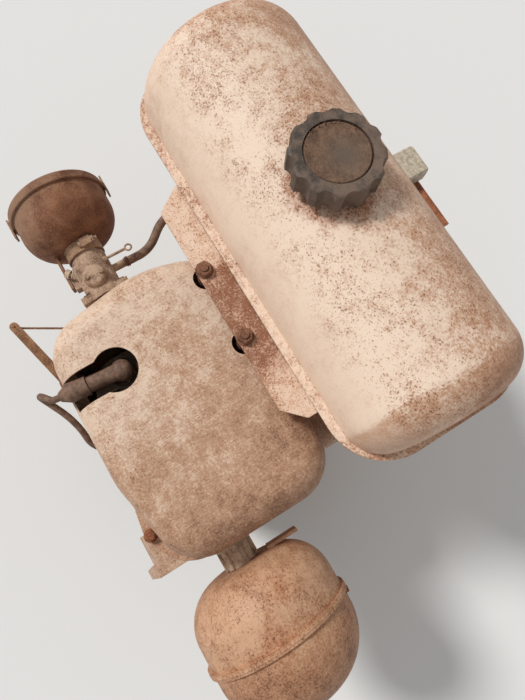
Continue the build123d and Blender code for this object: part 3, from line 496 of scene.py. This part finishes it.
def tank_film_and_shade(place, cloud):
    """Thin on the shoulder, thick behind the crown, even and brown on the turned-down end; behind the crown
    and on the end it is dust and painted shade.
    """
    # Painted shade: behind and end darken the far side and the turned-down end, which face away from the
    # light.
    behind = (place.axis("Y") + 0.12 * (cloud - 0.5)).over(0.212, 0.05)
    end = (place.axis("X") + 0.012 * (cloud - 0.5)).over(0.1175, 0.004)
    other_end = 1 - place.axis("X").over(-0.25, 0.05)
    return 0.08 + 0.46 * behind + 0.38 * end + 0.2 * other_end + 0.7 * (cloud - 0.5)


def tank_rust(place, cloud):
    """A halo by the cap, stains, freckled patches, and lines at the rim and the turned end."""
    halo = place.near((cap_x + 0.010, cap_y - 0.004, 0.47), 0.044, 0.012)
    stain = place.near((0.098, 0.243, 0.467), 0.017, 0.012)
    stain = stain.most(place.near((0.030, 0.212, 0.472), 0.015, 0.012))
    patch = place.near((0.060, 0.172, 0.468), 0.012, 0.016)
    for spot, reach in (((-0.262, 0.173, 0.467), 0.006), ((-0.225, 0.178, 0.468), 0.005),
                        ((-0.176, 0.165, 0.462), 0.012), ((-0.174, 0.189, 0.471), 0.01),
                        ((-0.02, 0.15, 0.455), 0.016), ((0.0, 0.175, 0.467), 0.014)):
        patch = patch.most(place.near(spot, reach, 0.016))
    line = 1 - abs(place.axis("X") - 0.1165 + 0.012 * (cloud - 0.5)).over(0.0012, 0.0012)
    line = line * place.axis("Y").over(0.14, 0.01)
    rim = 1 - place.axis("Z").over(0.3855, 0.0008)
    marks = (0.92 * halo).most(0.62 * stain).most(0.4 * patch).most(0.5 * rim).most(0.6 * line)
    return marks + 0.6 * (cloud - 0.5)


tank_enamel = enamel("tank_enamel", seen(238, 212, 189), seen(194, 148, 117), seen(162, 116, 87),
                     tank_film_and_shade, tank_rust, specks=0.028, clean=(0.388, 0.443))
coat(tank_enamel, "tank_upper_shell")
coat(casing_enamel, "tank_lower_shell")

# Filler neck, cap and its sunk disc. Moulded black plastic gone grey with scuffs; the
# disc is nearly flush, with brown dust on it and crumbs of dirt in its groove. The starter
# grip and the oil plugs are of the same plastic.
coat(dark_rust, "filler_neck")
scuffed_plastic, place = start("scuffed_plastic")
scuff = place.noise(0.009, 6.0, 0.72)
fine = place.noise(0.0011, 3.0, 0.6)
dusty_side = (place.axis("X") + place.axis("Y") - 0.12).over(0.0, 0.04)
greyed = (0.65 * scuff + 0.35 * fine + 0.10 * dusty_side).over(0.53, 0.13)
colour = greyed.blend(seen(60, 54, 48), seen(118, 98, 84))
close(scuffed_plastic, colour, 0.4 + 0.35 * greyed, fine + scuff, 0.0004)
coat(scuffed_plastic, "fuel_cap", "starter_grip", "oil_plugs")
dusty_disc, place = start("dusty_disc")
dust = place.noise(0.008, 6.0, 0.7)
crumb = place.noise(0.0014, 3.0, 0.7)
colour = (0.6 * dust + 0.4 * crumb).over(0.5, 0.14).blend(seen(92, 70, 56), seen(136, 106, 84))
colour = place.near((cap_x + 0.006, cap_y + 0.004, 0.5), 0.012, 0.016).blend(colour, seen(104, 90, 78))
close(dusty_disc, colour, 0.88, crumb + dust, 0.0009)
cap_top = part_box("fuel_cap")[1][2]
disc_foot = cap_top - 0.005
disc_sides = 96
disc_middle = 0.0038
disc_profile = ((0.012, 0.0038), (0.0262, 0.0036), (0.0272, 0.0042), (0.0282, 0.0042),
                (0.0290, 0.0034), (0.0291, 0.0))
disc = bpy.data.meshes.new("disc")
form = bmesh.new()
loops = []
for radius, high in disc_profile:
    loop = []
    for i in range(disc_sides):
        a = 2 * pi * i / disc_sides
        loop.append(form.verts.new((radius * cos(a), radius * sin(a), high)))
    loops.append(loop)
middle = form.verts.new((0, 0, disc_middle))
for i in range(disc_sides):
    k = (i + 1) % disc_sides
    form.faces.new((middle, loops[0][i], loops[0][k]))
    for inner, outer in zip(loops, loops[1:]):
        form.faces.new((inner[i], outer[i], outer[k], inner[k])).smooth = True
form.faces.new(list(reversed(loops[-1])))
bmesh.ops.recalc_face_normals(form, faces=form.faces)
form.to_mesh(disc)
form.free()
disc.transform(Matrix.Translation((cap_x, cap_y, disc_foot)))
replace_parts(finished("cap_disc", disc, dusty_disc, "cap"), "cap_insert")
dark_dirt = rusted("dark_dirt", seen(62, 34, 24), seen(112, 72, 50), share=0.45)
crumb_z = cap_top - 0.0012
crumb_form = Matrix.Diagonal((1.0, 0.7, 0.6, 1))
dirt_crumbs = bpy.data.meshes.new("crumbs")
form = bmesh.new()
chance = random.Random(7)
for i in range(70):
    a = radians(chance.gauss(185, 42))
    reach = chance.uniform(0.0268, 0.0296)
    size = chance.uniform(0.0005, 0.0013)
    lump = bmesh.ops.create_icosphere(form, subdivisions=1, radius=size)["verts"]
    spin = Matrix.Rotation(chance.uniform(0, pi), 4, "X")
    seat = Matrix.Translation((cap_x + reach * cos(a), cap_y + reach * sin(a), crumb_z))
    bmesh.ops.transform(form, matrix=seat @ spin @ crumb_form, verts=lump)
form.to_mesh(dirt_crumbs)
form.free()
finished("dirt_crumbs", dirt_crumbs, dark_dirt, "cap")

# Rear support and its pale clamp. The support is a bent strap, orange with rust, under the
# back of the tank; the clamp on it is a block of weathered plastic.
coat(orange_rust, "rear_support")
weathered_plastic, place = start("weathered_plastic")
chalk = place.noise(0.004, 4.0, 0.6)
colour = chalk.over(0.5, 0.2).blend(seen(160, 146, 124), seen(206, 194, 174))
close(weathered_plastic, colour, 0.6, chalk, 0.0003)
coat(weathered_plastic, "rear_clamp")

# Intake pipe and carburettor. Die-cast zinc, tan with dust, with slotted screws, an idle
# spring and knob on its side, and a clamp screw through the lugs of the throat band.
dusty_zinc = rusted("dusty_zinc", seen(128, 100, 80), seen(196, 164, 138), share=0.52)
coat(dusty_zinc, "intake_pipe", "carburettor", "float_bowl")
# Brighter zinc for the idle spring and knob, and as painted light on the union ring.
bright_and_lit_zinc = rusted("bright_and_lit_zinc", seen(150, 118, 94), seen(218, 192, 166), share=0.54)


def cheese_head(radius, height):
    """A slotted cheese-head screw, seat at zero, pointing up."""
    slot_angle = 0.17
    steps = 12
    taper = 0.94
    floor_radius = 0.93 * radius
    floor_depth = 0.6 * height
    hair = 0.0032 * radius
    mesh = bpy.data.meshes.new("screw")
    form = bmesh.new()
    for side in (-1, 1):
        outline = []
        for i in range(steps + 1):
            a = slot_angle + (pi - 2 * slot_angle) * i / steps
            outline.append(Vector((radius * cos(a), side * radius * sin(a), 0)))
        low = [form.verts.new(v) for v in outline]
        high = [form.verts.new(v * taper + Vector((0, 0, height))) for v in outline]
        for i in range(len(low)):
            k = (i + 1) % len(low)
            form.faces.new((low[i], low[k], high[k], high[i]))
        form.faces.new(high)
        form.faces.new(list(reversed(low)))
    bmesh.ops.create_cone(form, cap_ends=True, segments=20, radius1=floor_radius, radius2=floor_radius,
                          depth=floor_depth, matrix=Matrix.Translation((0, 0, floor_depth / 2 + hair)))
    bmesh.ops.recalc_face_normals(form, faces=form.faces)
    form.to_mesh(mesh)
    form.free()
    return mesh


def bar(radius, first, last):
    """A round bar between two points."""
    first = Vector(first)
    last = Vector(last)
    mesh = bpy.data.meshes.new("bar")
    form = bmesh.new()
    bmesh.ops.create_cone(form, cap_ends=True, segments=20, radius1=radius, radius2=radius,
                          depth=(last - first).length)
    form.to_mesh(mesh)
    form.free()
    return facing(mesh, (first + last) / 2, last - first)


def bent_ring(radius, thick, centre, axis, segments=40):
    """A round wire or bead bent into a ring about an axis."""
    sides = 10
    mesh = bpy.data.meshes.new("ring")
    form = bmesh.new()
    loops = []
    for i in range(segments):
        a = 2 * pi * i / segments
        loop = []
        for j in range(sides):
            b = 2 * pi * j / sides
            reach = radius + thick * cos(b)
            loop.append(form.verts.new((reach * cos(a), reach * sin(a), thick * sin(b))))
        loops.append(loop)
    for i in range(segments):
        here = loops[i]
        after = loops[(i + 1) % segments]
        for j in range(sides):
            k = (j + 1) % sides
            form.faces.new((here[j], after[j], after[k], here[k])).smooth = True
    form.to_mesh(mesh)
    form.free()
    return facing(mesh, centre, axis)


def joined(*meshes):
    """Several meshes as one."""
    form = bmesh.new()
    for mesh in meshes:
        form.from_mesh(mesh)
    whole = bpy.data.meshes.new("joined")
    form.to_mesh(whole)
    form.free()
    return whole


def coil(radius, wire, first, last, turns):
    """A compression spring of round wire between two points, as one swept mesh."""
    first = Vector(first)
    last = Vector(last)
    steps = 14 * turns
    curve = bpy.data.curves.new("coil", "CURVE")
    curve.dimensions = "3D"
    curve.bevel_depth = wire
    curve.bevel_resolution = 3
    spline = curve.splines.new("POLY")
    spline.points.add(steps)
    for i, point in enumerate(spline.points):
        a = 2 * pi * turns * i / steps
        along = (last - first).length * (i / steps - 0.5)
        point.co = (radius * cos(a), radius * sin(a), along, 1)
    carrier = bpy.data.objects.new("coil", curve)
    mesh = bpy.data.meshes.new_from_object(carrier)
    bpy.data.objects.remove(carrier)
    return facing(mesh, (first + last) / 2, last - first)


throat_y = -0.017
throat_z = 0.302
idle_z = 0.311
idle = coil(0.0034, 0.0007, (-0.191, -0.041, idle_z), (-0.182, -0.0335, idle_z), turns=6)
idle_screw = bar(0.0019, (-0.197, -0.0455, idle_z), (-0.178, -0.030, idle_z))
finished("idle_spring", joined(idle, idle_screw), bright_and_lit_zinc, "engine")
idle_knob = facing(cheese_head(0.0052, 0.005), (-0.1925, -0.0425, idle_z), (-0.76, -0.62, 0.1))
finished("idle_knob", idle_knob, bright_and_lit_zinc, "engine")
lid_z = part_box("carburettor")[1][2]
lid_screws = repeat("lid_screws", cheese_head(0.0032, 0.0022), 2, step=(0, 0.017, 0))
lid_screws.transform(Matrix.Translation((-0.173, -0.0275, lid_z)))
finished("lid_screws", lid_screws, dusty_zinc, "engine")
flange_gap = 0.043
flange_head = hexagon_head(across=0.010, height=0.0065, washer=0.0075)
flange_nuts = repeat("flange_nuts", flange_head, 2, step=(0, flange_gap, 0))
flange_nuts.transform(Matrix.Rotation(radians(-90), 4, "Y"))
flange_nuts.transform(Matrix.Translation((-0.158, throat_y - flange_gap / 2, throat_z)))
finished("flange_nuts", flange_nuts, dark_rust, "engine")
band_low, band_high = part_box("throat_band")
band_x = (band_low[0] + band_high[0]) / 2
clamp_z = band_high[2] - 0.0035
clamp_bar = bar(0.0018, (band_x, -0.018, clamp_z), (band_x, 0.004, clamp_z))
clamp_head = facing(cheese_head(0.0036, 0.003), (band_x, -0.0153, clamp_z), (0, -1, 0))
clamp_nut = hexagon_head(across=0.007, height=0.0035, washer=0.0037)
clamp_nut = facing(clamp_nut, (band_x, -0.003, clamp_z), (0, 1, 0))
finished("clamp_screw", joined(clamp_bar, clamp_head, clamp_nut), dusty_zinc, "engine")
choke_x = -0.187
choke_z = 0.3185
gland_z = choke_z - 0.002
choke_bar = bar(0.0016, (choke_x, 0.0, choke_z), (choke_x, 0.026, choke_z))
choke_eye = bent_ring(0.0036, 0.0011, (choke_x, 0.0285, choke_z), (0, 0, 1))
choke_gland = bar(0.004, (choke_x, -0.002, gland_z), (choke_x, 0.003, gland_z))
finished("choke_wire", joined(choke_bar, choke_eye, choke_gland), dusty_zinc, "engine")

# Air cleaner. A pressed steel bell and slotted cover, brown with rust all over and dusty on
# two sides, held by two spring clips with wire bails.
brown_rust, place = start("brown_rust")
scale = place.noise(0.0017, 4.0, 0.7)
patch = place.noise(0.020, 5.0, 0.62)
colour = (0.5 * scale + 0.5 * patch).over(0.5, 0.12).blend(seen(104, 64, 44), seen(150, 100, 70))
outer_side = 1 - place.axis("X").over(-0.264, 0.022)
front_side = 1 - place.axis("Y").over(-0.036, 0.03)
dust = 0.5 * outer_side + 0.5 * front_side + 1.5 * (patch - 0.5) + 1.2 * (scale - 0.5)
colour = (0.65 * dust.over(0.48, 0.4)).blend(colour, seen(154, 124, 100))
close(brown_rust, colour, 0.85, scale + 0.5 * patch, 0.0007)
coat(brown_rust, "cleaner_bell", "cleaner_cover", "cleaner_stay")
pale_rust = rusted("pale_rust", seen(132, 98, 74), seen(186, 150, 122), share=0.52)
coat(pale_rust, "cleaner_clips", "throat_band")
bead_thick = 0.0016
bead_bite = 0.0012
bell_low, bell_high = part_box("cleaner_bell")
bell_r = (bell_high[2] - bell_low[2]) / 2
bell_rim = (bell_low[0] + 0.0015, throat_y, throat_z)
cleaner_bead = bent_ring(bell_r - bead_bite, bead_thick, bell_rim, (1, 0, 0), segments=72)
finished("cleaner_bead", cleaner_bead, brown_rust, "engine")

# Throttle arm, lever, its bracket and the rod. Bare steel strip and wire, rusted. The lever
# turns on its bracket and pulls the arm by the rod, which is hooked into both.
strip_steel = rusted("strip_steel", seen(112, 76, 54), seen(168, 124, 90), share=0.5)
coat(strip_steel, "throttle_arm", "control_lever", "lever_bracket", "link_rod")

# Plug cap, plug lead and fuel hose. Moulded resin cap, rubber lead and hose, brown
# with dust. Lead and hose are held at both ends: the lead enters the casing through a
# rubber grommet, and wire clips hold the hose on its nipples.
dusty_rubber, place = start("dusty_rubber")
powder = place.noise(0.007, 5.0, 0.65)
nap = place.noise(0.0009, 2.0)
colour = (0.7 * powder + 0.3 * nap).over(0.5, 0.15).blend(seen(92, 68, 55), seen(142, 111, 91))
close(dusty_rubber, colour, 0.7, nap + powder, 0.0003)
coat(dusty_rubber, "plug_cap", "ht_lead", "fuel_hose")
lead_grommet = bent_ring(0.0050, 0.0018, (-0.008, -0.0925, 0.276), (0, 1, 0))
finished("lead_grommet", lead_grommet, dusty_rubber, "engine")
clip_places = ((-0.180, 0.0195, 0.302), (-0.180, 0.0215, 0.302),
               (-0.203, 0.1115, 0.312), (-0.203, 0.1095, 0.312))
hose_clips = joined(*[bent_ring(0.0056, 0.0007, centre, (0, 1, 0)) for centre in clip_places])
finished("hose_clips", hose_clips, dark_rust, "engine")


# Exhaust pipe, union ring and silencer. The silencer is two drawn pans rolled together
# at the seam, tan paint burnt and specked with rust, with a small screw at the seam.
def silencer_browning_and_highlight(place, cloud):
    """Browner past the seam and low down; the paler middle of the near pan's crown is a painted highlight.
    """
    past = place.axis("X").over(0.25, 0.02)
    low = 1 - place.axis("Z").over(0.31, 0.04)
    # Painted highlight: a paler spot on the near pan's crown, where the light falls.
    painted_highlight = place.near((0.209, -0.048, 0.359), 0.016, 0.022)
    return 0.3 + 0.35 * past + 0.3 * low + 0.8 * (cloud - 0.5) - 0.14 * painted_highlight


def silencer_rust(place, cloud):
    """Rust on the near pan's crown and by the seam, and a line along the seam."""
    crown = place.near((0.203, -0.011, 0.352), 0.012, 0.022)
    crown = crown.most(place.near((0.234, -0.034, 0.358), 0.018, 0.026))
    line = 1 - abs(place.axis("X") - 0.2405).over(0.0012, 0.001)
    return (1.02 * crown).most(0.6 * line) + 0.7 * (cloud - 0.5)


silencer_enamel = enamel("silencer_enamel", seen(206, 162, 128), seen(170, 122, 90), seen(122, 80, 55),
                         silencer_browning_and_highlight, silencer_rust, specks=0.035, dents=1.5)
coat(silencer_enamel, "silencer_inner", "silencer_outer", "silencer_outlet")
coat(dark_rust, "exhaust_pipe")
# The union ring takes the brighter zinc as painted light: it stands in for light on a ring that lies in the
# shroud's shadow.
coat(bright_and_lit_zinc, "union_nut")
pan_low, pan_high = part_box("silencer_outer")
pan_y = (pan_low[1] + pan_high[1]) / 2
pan_z = 0.283
seam_r = (pan_high[1] - pan_low[1]) / 2
seam = (pan_low[0], pan_y, pan_z)
silencer_bead = bent_ring(seam_r - bead_bite, bead_thick, seam, (1, 0, 0), segments=96)
finished("silencer_bead", silencer_bead, silencer_enamel, "engine")
seam_seat = (0.2505, pan_y + 0.0775, pan_z + 0.0105)
seam_head = hexagon_head(across=0.006, height=0.004, washer=0.0042)
finished("seam_screw", facing(seam_head, seam_seat, (0.1, 0.98, 0.14)), orange_rust, "engine")

# Fuel tap. Brass, dulled brown, screwed into the underside of the tank with a nipple for
# the hose.
dull_brass = casting("dull_brass", seen(150, 120, 70), seen(86, 64, 44), grime_share=0.5)
coat(dull_brass, "fuel_tap")
